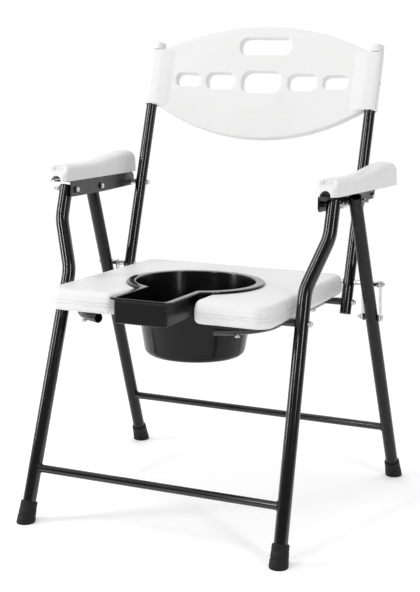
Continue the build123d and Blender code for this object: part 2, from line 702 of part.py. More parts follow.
with BuildPart() as armrest:
    with BuildSketch(ARM_SIDE):
        pad_profile(0, 0)
    extrude(amount=PAD_HALF, both=True)
    fillet(edges().filter_by(along_the_top), 9)
    with BuildSketch(ARM_SIDE):
        pad_profile(PAD_WALL, 9)
    extrude(amount=PAD_HALF - PAD_WALL, both=True, mode=Mode.SUBTRACT)
    round_bar(arm_point(PAD_NOSE - 2, PAD_LOW), arm_point(PAD_NOSE + 10, PAD_LOW), 11, Mode.SUBTRACT)
    for along, rise in zip(PAD_SCREWS, (-2, 12)):
        round_bar(arm_point(along, PAD_LOW), arm_point(along, PAD_HIGH + rise), 6)
        round_bar(arm_point(along, PAD_LOW - 1), arm_point(along, PAD_LOW + 15), 2.0, Mode.SUBTRACT)
save_pair(armrest.part, "armrest")

with BuildPart() as armrest_screws:
    for along in PAD_SCREWS:
        low_z = ARM_HIGH_Z - ARM_PLATE
        round_bar(arm_point(along, low_z - 2.6), arm_point(along, low_z), 4.0)
        round_bar(arm_point(along, low_z - 2.6), arm_point(along, low_z + 14), 2.0)
save_pair(armrest_screws.part, "armrest_screws")
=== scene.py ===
"""Looks of the folding commode chair: lights, camera, materials and detailed plastic and rubber pieces."""
from math import atan, cos, pi, radians, sin, sqrt

import bmesh
import bpy
import numpy as np
from mathutils import Matrix, Vector


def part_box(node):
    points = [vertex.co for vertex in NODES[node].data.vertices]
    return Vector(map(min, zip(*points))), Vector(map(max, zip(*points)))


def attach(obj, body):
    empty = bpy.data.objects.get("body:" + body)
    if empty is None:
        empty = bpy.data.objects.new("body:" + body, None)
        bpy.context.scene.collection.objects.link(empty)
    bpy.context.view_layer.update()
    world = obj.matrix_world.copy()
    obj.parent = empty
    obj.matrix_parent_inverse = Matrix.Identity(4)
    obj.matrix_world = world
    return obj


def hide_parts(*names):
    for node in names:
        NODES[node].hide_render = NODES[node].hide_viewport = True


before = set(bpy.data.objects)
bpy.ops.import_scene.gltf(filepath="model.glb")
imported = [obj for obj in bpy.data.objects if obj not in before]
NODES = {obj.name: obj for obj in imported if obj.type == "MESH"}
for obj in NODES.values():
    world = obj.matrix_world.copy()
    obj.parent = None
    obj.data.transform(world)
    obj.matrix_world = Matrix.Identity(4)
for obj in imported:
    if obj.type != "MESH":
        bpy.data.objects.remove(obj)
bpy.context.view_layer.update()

MM = 0.001
SIDES = (("left", 1), ("right", -1))

# Specks gather in patches of this scale, and fade at their edges over this much noise.
PATCH_SCALE = 14.0
SPECK_EDGE = 0.06


# ---------------------------------------------------------------- node helpers
def new_tree(name):
    """A new material with an empty shader network, its Principled shader and its coordinates."""
    material = bpy.data.materials.new(name)
    material.use_nodes = True
    tree = material.node_tree
    tree.nodes.clear()
    out = tree.nodes.new("ShaderNodeOutputMaterial")
    shader = tree.nodes.new("ShaderNodeBsdfPrincipled")
    tree.links.new(shader.outputs[0], out.inputs[0])
    place = tree.nodes.new("ShaderNodeTexCoord")
    return material, tree, shader, place.outputs["Object"]


def noise_field(tree, place, scale, detail, roughness=0.5):
    """A noise value from 0 to 1, finer with a larger scale."""
    field = tree.nodes.new("ShaderNodeTexNoise")
    field.inputs["Scale"].default_value = scale
    field.inputs["Detail"].default_value = detail
    field.inputs["Roughness"].default_value = roughness
    tree.links.new(place, field.inputs["Vector"])
    return field.outputs["Fac"]


def spread(tree, value, low, high, to_low, to_high):
    """The value stretched from the range low..high to the range to_low..to_high."""
    node = tree.nodes.new("ShaderNodeMapRange")
    for slot, number in zip(("From Min", "From Max", "To Min", "To Max"), (low, high, to_low, to_high)):
        node.inputs[slot].default_value = number
    tree.links.new(value, node.inputs["Value"])
    return node.outputs["Result"]


def mix_colour(tree, factor, first, second):
    """Mixes two colours, each a colour or an output of another node."""
    node = tree.nodes.new("ShaderNodeMix")
    node.data_type = "RGBA"
    tree.links.new(factor, node.inputs["Factor"])
    for slot, colour in (("A", first), ("B", second)):
        socket = next(s for s in node.inputs if s.name == slot and s.type == "RGBA")
        if isinstance(colour, bpy.types.NodeSocket):
            tree.links.new(colour, socket)
        else:
            socket.default_value = (*colour, 1.0)
    return next(s for s in node.outputs if s.type == "RGBA")


def bump(tree, shader, height, distance):
    """Gives the shader a fine relief as deep as distance, in metres."""
    node = tree.nodes.new("ShaderNodeBump")
    node.inputs["Strength"].default_value = 1.0
    node.inputs["Distance"].default_value = distance
    tree.links.new(height, node.inputs["Height"])
    tree.links.new(node.outputs["Normal"], shader.inputs["Normal"])


def grey(value):
    """A colour with the same amount of red, green and blue."""
    return (value, value, value)


def finish_material(
    name, dark, light, rough, metallic=0.0, specular=0.5, mottle=30.0, rough_scale=60.0,
    grain=900.0, grain_depth=0.00002, speck=None, speck_scale=700.0, speck_from=0.72,
):
    """A finish whose colour, roughness and fine relief all vary over the surface.

    The colour drifts from dark to light, and the roughness between the two values of rough.
    Each scale is how many times its noise repeats in a metre. A speck is a small spot of
    another colour where the noise is above speck_from.
    """
    material, tree, shader, place = new_tree(name)
    cloud = spread(tree, noise_field(tree, place, mottle, 4.0), 0.3, 0.7, 0.0, 1.0)
    colour = mix_colour(tree, cloud, dark, light)
    if speck:
        spots = noise_field(tree, place, speck_scale, 1.0)
        patches = spread(tree, noise_field(tree, place, PATCH_SCALE, 2.0), 0.45, 0.7, 0.0, 1.0)
        both = tree.nodes.new("ShaderNodeMath")
        both.operation = "MULTIPLY"
        sharp_spots = spread(tree, spots, speck_from, speck_from + SPECK_EDGE, 0.0, 1.0)
        tree.links.new(sharp_spots, both.inputs[0])
        tree.links.new(patches, both.inputs[1])
        colour = mix_colour(tree, both.outputs[0], colour, speck)
    tree.links.new(colour, shader.inputs["Base Color"])
    uneven = noise_field(tree, place, rough_scale, 5.0, 0.6)
    tree.links.new(spread(tree, uneven, 0.3, 0.7, rough[0], rough[1]), shader.inputs["Roughness"])
    shader.inputs["Metallic"].default_value = metallic
    shader.inputs["Specular IOR Level"].default_value = specular
    bump(tree, shader, noise_field(tree, place, grain, 2.0), grain_depth)
    return material


GLOSS_PAINT = finish_material(
    "gloss_black_paint", grey(0.0016), grey(0.0026), (0.13, 0.18), specular=0.7,
    grain=120.0, grain_depth=0.000001, speck=grey(0.10), speck_scale=900.0, speck_from=0.77,
)
SATIN_PAINT = finish_material(
    "satin_black_paint", grey(0.003), grey(0.0048), (0.16, 0.26), specular=0.32,
    grain=500.0, grain_depth=0.00002, speck=grey(0.10), speck_scale=800.0, speck_from=0.75,
)
BRACKET_PAINT = finish_material(
    "bracket_black_paint", grey(0.008), grey(0.013), (0.26, 0.40), specular=0.4,
    grain=500.0, grain_depth=0.00002, speck=grey(0.14), speck_scale=800.0, speck_from=0.75,
)
WHITE_PLASTIC = finish_material(
    "moulded_white_plastic", (0.765, 0.765, 0.762), (0.79, 0.79, 0.788), (0.36, 0.46), specular=0.4,
    grain=1500.0, grain_depth=0.00003, mottle=9.0,
    speck=grey(0.5), speck_scale=420.0, speck_from=0.78,
)
PAN_PLASTIC = finish_material(
    "pan_black_plastic", grey(0.003), grey(0.0045), (0.15, 0.23), specular=0.24,
    grain=1100.0, grain_depth=0.00002, mottle=20.0,
    speck=grey(0.05), speck_scale=600.0, speck_from=0.76,
)
# The rim's finish: glossier plastic, with a lighter colour that is a painted sheen for the rim's reflection
# of the room.
PAN_RIM_GLOSS_AND_SHEEN = finish_material(
    "pan_rim_gloss_and_painted_sheen", grey(0.010), grey(0.016), (0.10, 0.18), specular=0.8,
    grain=1100.0, grain_depth=0.00001, mottle=20.0,
    speck=grey(0.08), speck_scale=600.0, speck_from=0.74,
)
BLACK_PLASTIC = finish_material(
    "black_plastic_fitting", grey(0.008), grey(0.012), (0.32, 0.45), specular=0.4,
    grain=1600.0, grain_depth=0.00002,
)
RUBBER = finish_material(
    "foot_rubber", grey(0.006), grey(0.010), (0.50, 0.66), specular=0.25,
    grain=1800.0, grain_depth=0.00005, mottle=60.0,
    speck=grey(0.09), speck_scale=500.0, speck_from=0.7,
)
ZINC = finish_material(
    "zinc_plated_steel", grey(0.52), grey(0.70), (0.20, 0.38), metallic=1.0,
    mottle=120.0, rough_scale=220.0, grain=2400.0, grain_depth=0.00001,
    speck=grey(0.30), speck_scale=900.0, speck_from=0.66,
)

# The first of these that a CAD node's name starts with gives its finish. The rest are zinc plated.
NODE_FINISH = (
    ("front_leg", GLOSS_PAINT),
    ("front_crossbar", GLOSS_PAINT),
    ("rear_crossbar", GLOSS_PAINT),
    ("back_tube_plugs", BLACK_PLASTIC),
    ("back_tube", GLOSS_PAINT),
    ("seat_rail", GLOSS_PAINT),
    ("rear_leg", SATIN_PAINT),
    ("arm_bracket", BRACKET_PAINT),
    ("back_cap", WHITE_PLASTIC),
    ("armrest_screws", ZINC),
    ("armrest", WHITE_PLASTIC),
    ("backrest_screws", ZINC),
    ("backrest", WHITE_PLASTIC),
    ("seat_board", WHITE_PLASTIC),
    ("pan", PAN_PLASTIC),
    ("front_foot", RUBBER),
    ("rear_foot", RUBBER),
    ("link_washers", BLACK_PLASTIC),
    ("arm_washers", BLACK_PLASTIC),
)
for node_name, node in NODES.items():
    finish = next((f for start, f in NODE_FINISH if node_name.startswith(start)), ZINC)
    for material_slot in node.material_slots:
        material_slot.link = "OBJECT"
        material_slot.material = finish

# The folded and stamped steel pieces have slightly worn edges.
for piece_name, edge_width in (("arm_bracket", 0.4), ("link_plates", 0.35)):
    for side_name, side in SIDES:
        soften = NODES[f"{piece_name}_{side_name}"].modifiers.new("worn_edges", "BEVEL")
        soften.width = edge_width * MM
        soften.segments = 2
        soften.limit_method = "ANGLE"
        soften.angle_limit = radians(50)


# ---------------------------------------------------------------- mesh helpers
def smooth_shade(mesh, angle=38):
    """Shades a mesh smoothly, except at edges sharper than the angle in degrees."""
    mesh.polygons.foreach_set("use_smooth", [True] * len(mesh.polygons))
    mesh.set_sharp_from_angle(angle=radians(angle))


def place_piece(obj, material, body, slot, *replaced):
    """Gives a new object its finish and its body, and hides the CAD nodes it stands for."""
    obj.data.materials.clear()
    obj.data.materials.append(material)
    smooth_shade(obj.data)
    if replaced:
        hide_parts(*replaced)
    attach(obj, body)
    return obj


def new_object(name, points, faces):
    """A mesh object from points in millimetres, with its faces turned outwards."""
    mesh = bpy.data.meshes.new(name)
    mesh.from_pydata([Vector(p) * MM for p in points], [], faces)
    work = bmesh.new()
    work.from_mesh(mesh)
    bmesh.ops.remove_doubles(work, verts=work.verts, dist=0.01 * MM)
    bmesh.ops.recalc_face_normals(work, faces=work.faces)
    bmesh.ops.triangulate(work, faces=[f for f in work.faces if len(f.verts) > 4])
    work.to_mesh(mesh)
    work.free()
    obj = bpy.data.objects.new(name, mesh)
    bpy.context.scene.collection.objects.link(obj)
    return obj


def settle(obj):
    """Applies an object's modifiers to its mesh."""
    graph = bpy.context.evaluated_depsgraph_get()
    mesh = bpy.data.meshes.new_from_object(obj.evaluated_get(graph), depsgraph=graph)
    obj.modifiers.clear()
    obj.data = mesh


def cut(obj, cutter):
    """Cuts one object out of another and removes the cutter."""
    hole = obj.modifiers.new("cut", "BOOLEAN")
    hole.operation = "DIFFERENCE"
    hole.solver = "EXACT"
    hole.object = cutter
    settle(obj)
    bpy.data.objects.remove(cutter)


def rod(name, start, end, radius, segments=48):
    """A closed round bar between two points in millimetres, used as a cutter."""
    start, end = Vector(start), Vector(end)
    along = (end - start).normalized()
    side = along.orthogonal().normalized()
    other = along.cross(side)
    points = []
    for centre in (start, end):
        for k in range(segments):
            angle = 2 * pi * k / segments
            points.append(centre + (side * cos(angle) + other * sin(angle)) * radius)
    faces = ring_faces(2, segments)
    faces.append(tuple(range(segments)))
    faces.append(tuple(range(segments, 2 * segments)))
    return new_object(name, points, faces)


def moulded_copy(name, node_name, voxel, passes, extras=()):
    """A copy of a CAD solid and extras with the soft edges of a moulding: remeshed finely, then relaxed."""
    obj = bpy.data.objects.new(name, NODES[node_name].data.copy())
    bpy.context.scene.collection.objects.link(obj)
    if extras:
        work = bmesh.new()
        for piece in (obj, *extras):
            work.from_mesh(piece.data)
        work.to_mesh(obj.data)
        work.free()
        for piece in extras:
            bpy.data.objects.remove(piece)
    remesh = obj.modifiers.new("remesh", "REMESH")
    remesh.mode = "VOXEL"
    remesh.voxel_size = voxel * MM
    relax = obj.modifiers.new("relax", "SMOOTH")
    relax.factor = 0.5
    relax.iterations = passes
    settle(obj)
    return obj


def coordinates(obj):
    """An object's points in millimetres, as an array of rows."""
    flat = np.zeros(len(obj.data.vertices) * 3)
    obj.data.vertices.foreach_get("co", flat)
    return flat.reshape(-1, 3) / MM


def set_coordinates(obj, rows):
    """Moves an object's points to these places in millimetres."""
    obj.data.vertices.foreach_set("co", (rows * MM).ravel())
    obj.data.update()


def smooth_step(values, low, high):
    """0 below low, 1 above high, and a soft ramp between them."""
    t = np.clip((values - low) / (high - low), 0.0, 1.0)
    return t * t * (3 - 2 * t)


def arc_points(centre, radius, start, end, count):
    """Points of an arc between two angles in radians."""
    angles = [start + (end - start) * k / count for k in range(count + 1)]
    return [(centre[0] + radius * cos(a), centre[1] + radius * sin(a)) for a in angles]


def ring_faces(levels, around, closed=False):
    """The side faces of a body made of rings of points, which closes on its first ring if asked."""
    faces = []
    for level in range(levels if closed else levels - 1):
        this_ring, next_ring = level * around, (level + 1) % levels * around
        for k in range(around):
            after = (k + 1) % around
            faces.append((this_ring + k, this_ring + after, next_ring + after, next_ring + k))
    return faces


def rounded_path(corners, points_per_mm=0.5):
    """A closed outline through (x, y, radius) corners, each rounded by an arc of its radius."""
    path = []
    total = len(corners)
    for k, (x, y, radius) in enumerate(corners):
        here = Vector((x, y))
        back = (Vector(corners[k - 1][:2]) - here).normalized()
        on = (Vector(corners[(k + 1) % total][:2]) - here).normalized()
        if radius <= 0:
            path.append(here)
            continue
        half = back.angle(on) / 2
        reach = radius / np.tan(half)
        middle = here + (back + on).normalized() * (radius / sin(half))
        first, last = here + back * reach, here + on * reach
        turn = pi - 2 * half
        count = max(4, int(turn * radius * points_per_mm))
        for j in range(count + 1):
            t = j / count
            spoke = (first - middle) * sin((1 - t) * turn) + (last - middle) * sin(t * turn)
            path.append(middle + spoke.normalized() * radius)
    return path


def outward(path):
    """How far and where each point of an anticlockwise outline moves when the outline grows by one."""
    steps = []
    total = len(path)
    for k in range(total):
        before = (path[k] - path[k - 1]).normalized()
        after = (path[(k + 1) % total] - path[k]).normalized()
        first_normal = Vector((before.y, -before.x))
        last_normal = Vector((after.y, -after.x))
        steps.append((first_normal + last_normal) / (1 + first_normal.dot(last_normal)))
    return steps


def stacked(path, profile):
    """Points and faces of a closed body: the outline drawn in by (inset, height) for each level."""
    grow = outward(path)
    total = len(path)
    points = [(p.x - g.x * inset, p.y - g.y * inset, z) for inset, z in profile for p, g in zip(path, grow)]
    faces = ring_faces(len(profile), total)
    faces.append(tuple(range(total))[::-1])
    faces.append(tuple(range(total * (len(profile) - 1), total * len(profile))))
    return points, faces


# ---------------------------------------------------------------- seat
PAN_Y = -76.0
HOLE_R = 119.0
SLOT_HALF = 69.0
SEAT_CORNER = 32.0

# The front of the slot widens by MOUTH_OUT over the last MOUTH_DEEP millimetres.
MOUTH_OUT, MOUTH_DEEP = 13, 26
MOUTH_TIP_R, MOUTH_BEND_R = 16, 30
JUNCTION_R = 14
JUNCTION_GAP = 0.075

# The notches over the rails' pivot stubs: each one's y and z, their radius and where they start across.
STUB_PLACES = ((-152.3, 403.0), (105.7, 400.0))
NOTCH_R = 8.6
NOTCH_START = 186
NOTCH_PAST_EDGE = 6

seat_low, seat_high = (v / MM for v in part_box("seat_board"))
junction_y = PAN_Y - sqrt(HOLE_R**2 - SLOT_HALF**2)
junction = atan((PAN_Y - junction_y) / SLOT_HALF)
mouth_side = [
    (SLOT_HALF, junction_y, JUNCTION_R),
    (SLOT_HALF, seat_low.y + MOUTH_DEEP, MOUTH_BEND_R),
    (SLOT_HALF + MOUTH_OUT, seat_low.y, MOUTH_TIP_R),
]
seat_corners = [
    (seat_high.x, seat_low.y, SEAT_CORNER),
    (seat_high.x, seat_high.y, SEAT_CORNER),
    (seat_low.x, seat_high.y, SEAT_CORNER),
    (seat_low.x, seat_low.y, SEAT_CORNER),
]
seat_corners += [(-x, y, radius) for x, y, radius in reversed(mouth_side)]
hole_start, hole_end = pi + junction - JUNCTION_GAP, -junction + JUNCTION_GAP
seat_corners += [(x, y, 0) for x, y in arc_points((0, PAN_Y), HOLE_R, hole_start, hole_end, 96)]
seat_corners += mouth_side
top, base = seat_high.z, seat_low.z
# The edge as (inset, height) levels: a soft roll with two faint steps and the mould's parting line.
SEAT_EDGE = (
    (11.0, base), (9.0, base), (6.0, base + 0.8), (3.4, base + 2.4), (1.6, base + 4.8), (0.7, base + 7.6),
    (0.35, base + 10.5), (0.25, base + 13.2), (1.1, base + 14.0), (1.1, base + 14.8), (0.0, base + 15.7),
    (0.0, base + 18.6), (1.2, base + 19.4), (1.2, base + 20.2), (0.3, base + 21.2), (0.3, base + 24.2),
    (1.3, base + 25.6), (1.6, base + 28.4), (2.3, base + 31.2), (3.8, base + 33.9), (5.8, base + 36.2),
    (8.2, base + 37.9), (11.0, base + 38.75), (12.4, top), (13.0, top),
)
seat_shell = new_object("seat_shell", *stacked(rounded_path(seat_corners), SEAT_EDGE))
for side in (-1, 1):
    for place in STUB_PLACES:
        inner, outer = (side * NOTCH_START, *place), (side * (seat_high.x + NOTCH_PAST_EDGE), *place)
        cut(seat_shell, rod("stub_notch", inner, outer, NOTCH_R))
place_piece(seat_shell, WHITE_PLASTIC, "seat", "white_plastic", "seat_board")

# ---------------------------------------------------------------- backrest
# The back tubes' axes pass through (BACK_FOOT_Y, BACK_FOOT_Z) and lean back by BACK_SLOPE.
BACK_SLOPE = 0.302
BACK_FOOT_Y, BACK_FOOT_Z = 167.616, 605
BACK_MID_Z = 820
LEAN = atan(BACK_SLOPE)
BACK_MID = Vector((0, BACK_FOOT_Y + BACK_SLOPE * (BACK_MID_Z - BACK_FOOT_Z), BACK_MID_Z))
BACK_UP = Vector((0, sin(LEAN), cos(LEAN)))
BACK_OUT = Vector((0, -cos(LEAN), sin(LEAN)))

# The sleeves at the backrest's ends, across, up and out from its middle.
EAR_INNER, EAR_OUTER = 194.0, 253.4
EAR_LOW, EAR_HIGH = -57.8, 61.8
EAR_HALF, EAR_ROUND = 13.3, 8.0
BLADE_FRONT, BLADE_REAR = -13.8, 4.4
BORE_EXTRA = 9
TUBE_X, TUBE_R = 240.0, 11.0

# The crease across the front: its middle height, how much it rises to the sides, and how deep it is.
CREASE_UP, CREASE_RISE, CREASE_HALF = -66, 14, 110
CREASE_DEPTH = 0.7
BACKREST_BOW = 14


def back_spot(across, up, out):
    """A place on the backrest, in millimetres across, up along the tubes and out to the front."""
    return BACK_MID + Vector((across, 0, 0)) + BACK_UP * up + BACK_OUT * out


def backrest_ear(side):
    """The sleeve at one end of the backrest, which runs into the blade and has the tube's bore."""
    plan = [(EAR_INNER, BLADE_FRONT), (EAR_INNER + 28, -EAR_HALF)]
    plan += arc_points((EAR_OUTER - EAR_ROUND, -EAR_HALF + EAR_ROUND), EAR_ROUND, -pi / 2, 0, 8)
    plan += arc_points((EAR_OUTER - EAR_ROUND, EAR_HALF - EAR_ROUND), EAR_ROUND, 0, pi / 2, 8)
    plan += [(EAR_INNER + 34, EAR_HALF), (EAR_INNER + 16, 9.0), (EAR_INNER, BLADE_REAR)]
    points = [back_spot(side * across, up, out) for up in (EAR_LOW, EAR_HIGH) for across, out in plan]
    count = len(plan)
    faces = ring_faces(2, count)
    faces += [tuple(range(count)), tuple(range(count, 2 * count))]
    ear = new_object("ear", points, faces)
    bore_low = back_spot(side * TUBE_X, EAR_LOW - BORE_EXTRA, 0)
    bore_high = back_spot(side * TUBE_X, EAR_HIGH + BORE_EXTRA, 0)
    cut(ear, rod("bore", bore_low, bore_high, TUBE_R))
    return ear


def sink_crease(obj):
    """Presses the crease into the front of the backrest, below a line that rises to the sides."""
    rows = coordinates(obj)
    across = rows[:, 0]
    away = rows - np.array(BACK_MID)
    up = away @ np.array(BACK_UP)
    out = away @ np.array(BACK_OUT)
    front = smooth_step(out + BACKREST_BOW * (1 - (across / TUBE_X) ** 2), 2.0, 7.0)
    below = CREASE_UP + CREASE_RISE * (across / CREASE_HALF) ** 2 - up
    fade = 1 - smooth_step(np.abs(across), 70, 125)
    edge = smooth_step(below, -3.0, 3.0) * (1 - smooth_step(below, 12.0, 40.0))
    sink = CREASE_DEPTH * front * fade * edge
    set_coordinates(obj, rows - sink[:, None] * np.array(BACK_OUT))


ears = [backrest_ear(side) for side in (-1, 1)]
backrest_shell = moulded_copy("backrest_shell", "backrest", 1.9, 5, ears)
sink_crease(backrest_shell)
place_piece(backrest_shell, WHITE_PLASTIC, "back_frame", "white_plastic", "backrest")

# ---------------------------------------------------------------- pan
PAN_BASE_R, PAN_FLARE = 91, 22
PAN_BASE_Z, PAN_DEPTH = 310, 139.5
SEAM_ANGLES = (-118.0, -62.0, 62.0, 118.0)
SEAM_HEIGHT = 0.4
RIM_FROM_Z = 445.5


def raise_seams(obj):
    """Raises the mould's four upright lines on the outside of the pan."""
    rows = coordinates(obj)
    radial = rows[:, :2] - np.array((0, PAN_Y))
    reach = np.hypot(radial[:, 0], radial[:, 1])
    height = rows[:, 2]
    skin = PAN_BASE_R + PAN_FLARE * (height - PAN_BASE_Z) / PAN_DEPTH
    between = smooth_step(height, 318, 330) * (1 - smooth_step(height, 395, 402))
    on_body = smooth_step(reach - skin, 0.8, 1.8) * between
    angle = np.degrees(np.arctan2(radial[:, 1], radial[:, 0]))
    for seam in SEAM_ANGLES:
        width = np.abs(np.radians(angle - seam)) * reach
        lift = SEAM_HEIGHT * on_body * (1 - smooth_step(width, 0.6, 2.2))
        rows[:, :2] += (lift / np.maximum(reach, 1))[:, None] * radial
    set_coordinates(obj, rows)


pan_shell = moulded_copy("pan_shell", "pan", 1.15, 3)
raise_seams(pan_shell)
place_piece(pan_shell, PAN_PLASTIC, "pan", "black_plastic", "pan")
# The rim's upper face is glossier than the rest, and its colour is lighter than the pan's: a painted sheen
# that stands in for the reflection of the bright room on the rim's top.
pan_shell.data.materials.append(PAN_RIM_GLOSS_AND_SHEEN)
for face in pan_shell.data.polygons:
    if face.center.z > RIM_FROM_Z * MM and face.normal.z > 0.25:
        face.material_index = 1

# ---------------------------------------------------------------- armrests
ARM_ORIGIN = Vector((270.0, -90.384, 0))
ARM_RUN = Vector((6.5, 109.378, 0)).normalized()
ARM_OUT = ARM_RUN.cross(Vector((0, 0, 1)))
PAD_HALF = 22.2
PAD_NOSE, PAD_TAIL = -43.8, 293.8
PAD_LOW = 625.2
PAD_WALL = 3.4
NOSE_R, TAIL_R = 13.0, 17.0
# How far the nose and the tail lean in, over the last PAD_LEAN_RUN of their length and of height.
NOSE_LEAN, TAIL_LEAN, PAD_LEAN_RUN = 7.0, 4.0, 30
PAD_CROWN = 0.9
ARCH_R = 10.5
# How high the pad's top is along it: a hump in front, a slight dip, and a taller hump behind.
PAD_TOPS = (
    (-44, 646), (-38, 651.5), (-28, 654.6), (-12, 655.6), (10, 655.2),
    (50, 654.2), (90, 654.6), (130, 657.2), (180, 663.0), (220, 667.6),
    (250, 669.8), (268, 669.2), (280, 665.8), (288, 660.5), (294, 652.5),
)
# The rounded edge as (inset, drop from the top) levels; the first level is the pad's lower edge.
PAD_ROLL = (
    (0.0, None), (0.25, 14.0), (0.7, 10.4), (1.6, 7.4), (3.1, 4.7),
    (5.2, 2.6), (7.8, 1.15), (10.6, 0.35), (12.6, 0.0),
)


def pad_top(along):
    """The height of the armrest's top, smoothly through the points above."""
    xs = [p[0] for p in PAD_TOPS]
    ys = [p[1] for p in PAD_TOPS]
    k = max(1, min(len(xs) - 3, sum(1 for x in xs if x <= along) - 1))
    total = 0.0
    # Four neighbouring points give a cubic between the middle two.
    for i in range(k - 1, k + 3):
        term = ys[i]
        for j in range(k - 1, k + 3):
            if j != i:
                term *= (along - xs[j]) / (xs[i] - xs[j])
        total += term
    return total


def pad_half_outline():
    """Half of the armrest's plan, from the middle of its nose round one side to the middle of its tail."""
    half = [(PAD_NOSE, w) for w in (0.0, 3.0, 6.0)]
    half += arc_points((PAD_NOSE + NOSE_R, PAD_HALF - NOSE_R), NOSE_R, pi, pi / 2, 12)
    half += [(along, PAD_HALF) for along in range(-24, 272, 6)]
    half += arc_points((PAD_TAIL - TAIL_R, PAD_HALF - TAIL_R), TAIL_R, pi / 2, 0, 12)
    half += [(PAD_TAIL, w) for w in (2.5, 0.0)]
    return [Vector(p) for p in half]


def armrest_mesh():
    """The armrest's skin in arm coordinates (along, across, height), open underneath."""
    half = pad_half_outline()
    mirrored = [Vector((p.x, -p.y)) for p in half[-2:0:-1]]
    path = half + mirrored
    grow = [-g for g in outward(path)]
    grow[0], grow[len(half) - 1] = Vector((-1, 0)), Vector((1, 0))
    total = len(path)
    points = []
    for inset, drop in PAD_ROLL:
        for p, g in zip(path, grow):
            top_z = pad_top(p.x)
            z = PAD_LOW if drop is None else max(PAD_LOW + 1.5, top_z - drop)
            rise = (z - PAD_LOW) / PAD_LEAN_RUN
            from_nose = NOSE_LEAN * max(0.0, 1 - (p.x - PAD_NOSE) / PAD_LEAN_RUN) * rise
            from_tail = TAIL_LEAN * max(0.0, 1 - (PAD_TAIL - p.x) / PAD_LEAN_RUN) * rise
            points.append((p.x - g.x * inset + from_nose - from_tail, p.y - g.y * inset, z))
    faces = ring_faces(len(PAD_ROLL), total)
    # The crown joins the last ring's two sides with columns of points, bulging by PAD_CROWN.
    ring = (len(PAD_ROLL) - 1) * total
    first_new = len(points)
    count = len(half)
    columns = 6

    def crown(k, column):
        """The number of a crown point: the ring's own at the two sides, a new one between."""
        if k in (0, count - 1) or column == 0:
            return ring + k
        if column == columns:
            return ring + (total - k)
        return first_new + (k - 1) * (columns - 1) + column - 1

    for k in range(1, count - 1):
        a, b = Vector(points[ring + k]), Vector(points[ring + total - k])
        for column in range(1, columns):
            t = column / columns
            bulge = PAD_CROWN * 4 * t * (1 - t) * min(1.0, abs(a.y) / 9)
            points.append(a.lerp(b, t) + Vector((0, 0, bulge)))
    for k in range(count - 1):
        for column in range(columns):
            around = ((k, column), (k + 1, column), (k + 1, column + 1), (k, column + 1))
            corners = [crown(*corner) for corner in around]
            unique = list(dict.fromkeys(corners))
            if len(unique) > 2:
                faces.append(tuple(unique))
    return points, faces


def arm_spot(side, along, across, height):
    """A place on the left or right armrest, in millimetres along it, across it and above the floor."""
    spot = ARM_ORIGIN + ARM_RUN * along + ARM_OUT * across + Vector((0, 0, height))
    return (side * spot.x, spot.y, spot.z)


pad_points, pad_faces = armrest_mesh()
for side_name, side in SIDES:
    placed = [arm_spot(side, *point) for point in pad_points]
    pad = new_object(f"armrest_shell_{side_name}", placed, pad_faces)
    wall = pad.modifiers.new("wall", "SOLIDIFY")
    wall.thickness = PAD_WALL * MM
    wall.offset = -1
    wall.use_even_offset = True
    settle(pad)
    # The arch under the nose, over the front leg's top.
    arch_ends = [arm_spot(side, PAD_NOSE + along, 0, PAD_LOW) for along in (-6, 14)]
    cut(pad, rod("arch", *arch_ends, ARCH_R))
    place_piece(pad, WHITE_PLASTIC, f"{side_name}_arm", "white_plastic", f"armrest_{side_name}")

# ---------------------------------------------------------------- feet
# Each pair of legs: where the left leg's axis meets the floor, its direction, and its cross bar's height.
LEGS = (
    ("front", (252.0, -274.0), (-0.032, 0.302, 1.0), 98.0),
    ("rear", (300.0, 297.0), (-0.038715, -0.458, 1.0), 118.0),
)
LEG_R, BAR_R = 12.5, 7.5
# A foot's rings from the sole up: a distance above the floor or along the leg, and the ring's radius.
FOOT_RINGS = (
    ("floor", 0.0, 6.0), ("floor", 0.0, 15.0), ("floor", 0.0, 16.6), ("floor", 0.5, 17.1),
    ("floor", 1.4, 17.3), ("floor", 5.2, 17.2), ("leg", 12.4, 16.9), ("leg", 13.2, 16.5),
    ("leg", 13.7, 15.9), ("leg", 14.6, 15.9), ("leg", 15.3, 16.3), ("leg", 16.4, 16.4),
    ("leg", 27.0, 15.9), ("leg", 27.8, 15.3), ("leg", 28.6, 15.3), ("leg", 29.4, 15.8),
    ("leg", 36.2, 15.6), ("leg", 38.2, 15.4), ("leg", 39.4, 14.9), ("leg", 39.9, 14.1),
    ("leg", 39.9, 13.1), ("leg", 38.6, 12.55), ("leg", 31.0, 12.5),
)
# The outermost places that a foot may reach, just inside the CAD feet.
FOOT_REACH, FOOT_BACK = (abs(v) / MM - 0.05 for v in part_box("rear_foot_left")[1].xy)


def foot_mesh(centre, axis, segments=64):
    """A turned rubber foot on a leaning leg, cut level at the floor and kept inside the CAD's box."""
    points = []
    up_way = Vector(axis).normalized()
    side = Vector((0, 1, 0)).cross(up_way).normalized()
    other = up_way.cross(side)
    for kind, distance, radius in FOOT_RINGS:
        for k in range(segments):
            spoke = (side * cos(2 * pi * k / segments) + other * sin(2 * pi * k / segments)) * radius
            along = distance if kind == "leg" else (distance - spoke.z) / up_way.z
            spot = Vector(centre) + spoke + up_way * along
            points.append((max(-FOOT_REACH, min(FOOT_REACH, spot.x)), min(FOOT_BACK, spot.y), spot.z))
    faces = [tuple(range(segments))]
    faces += ring_faces(len(FOOT_RINGS), segments)
    faces.append(tuple(range(len(points) - segments, len(points))))
    return points, faces


for end, (foot_x, foot_y), axis, bar_z in LEGS:
    for side_name, side in SIDES:
        points, faces = foot_mesh((side * foot_x, foot_y, 0), (side * axis[0], axis[1], axis[2]))
        foot = new_object(f"{end}_ferrule_{side_name}", points, faces)
        place_piece(foot, RUBBER, f"{end}_frame", "foot_rubber", f"{end}_foot_{side_name}")


